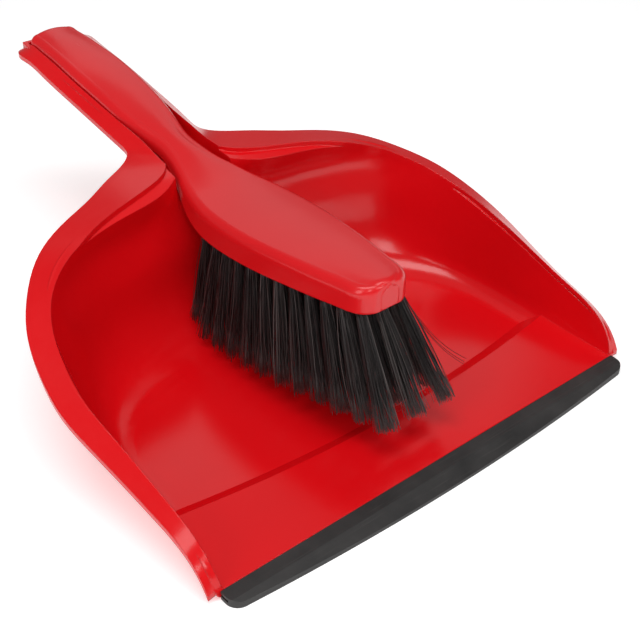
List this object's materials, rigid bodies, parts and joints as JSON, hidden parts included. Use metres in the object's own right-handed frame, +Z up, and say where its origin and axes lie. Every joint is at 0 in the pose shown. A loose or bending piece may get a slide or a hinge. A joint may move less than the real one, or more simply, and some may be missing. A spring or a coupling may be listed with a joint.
{
  "type": "dust pan and brush set",
  "caption": "Hand dust pan with a rubber lip, ramp and channelled handle, storing a tufted hand brush whose handle lies in the pan's handle.",
  "frame": {"origin": "middle of the set's footprint, on the floor that the pan stands on", "axes": "+X to the right along the lip, +Y from the lip to the handle's end, +Z up"},
  "size_m": [0.2548, 0.332, 0.104],
  "materials": {
    "pan_plastic": "glossy moulded red polypropylene",
    "brush_plastic": "semi-gloss moulded red polypropylene",
    "lip_rubber": "matte black rubber",
    "bristle": "dark satin filament",
    "staple_wire": "flat wire"
  },
  "bodies": {
    "pan": {"dust_pan": "pan_plastic", "rubber_lip": "lip_rubber"},
    "brush": {"brush_block": "brush_plastic", "anchor_staples": "staple_wire", "tuft_01": "bristle", "tuft_02": "bristle", "tuft_03": "bristle", "tuft_04": "bristle", "tuft_05": "bristle", "tuft_06": "bristle", "tuft_07": "bristle", "tuft_08": "bristle", "tuft_09": "bristle", "tuft_10": "bristle", "tuft_11": "bristle", "tuft_12": "bristle", "tuft_13": "bristle", "tuft_14": "bristle", "tuft_15": "bristle", "tuft_16": "bristle", "tuft_17": "bristle", "tuft_18": "bristle", "tuft_19": "bristle", "tuft_20": "bristle", "tuft_21": "bristle", "tuft_22": "bristle", "tuft_23": "bristle", "tuft_24": "bristle", "tuft_25": "bristle", "tuft_26": "bristle", "tuft_27": "bristle", "tuft_28": "bristle", "tuft_29": "bristle", "tuft_30": "bristle", "tuft_31": "bristle", "tuft_32": "bristle", "tuft_33": "bristle", "tuft_34": "bristle", "tuft_35": "bristle", "tuft_36": "bristle", "tuft_37": "bristle", "tuft_38": "bristle", "tuft_39": "bristle", "tuft_40": "bristle", "tuft_41": "bristle", "tuft_42": "bristle", "tuft_43": "bristle", "tuft_44": "bristle", "tuft_45": "bristle", "tuft_46": "bristle", "tuft_47": "bristle", "tuft_48": "bristle", "tuft_49": "bristle", "tuft_50": "bristle", "tuft_51": "bristle", "tuft_52": "bristle", "tuft_53": "bristle", "tuft_54": "bristle"}
  },
  "joints": [
    {"name": "brush_lift", "type": "slide", "parent": "pan", "child": "brush", "axis": [0, 0, 1], "range_m": [0, 0.15]}
  ]
}
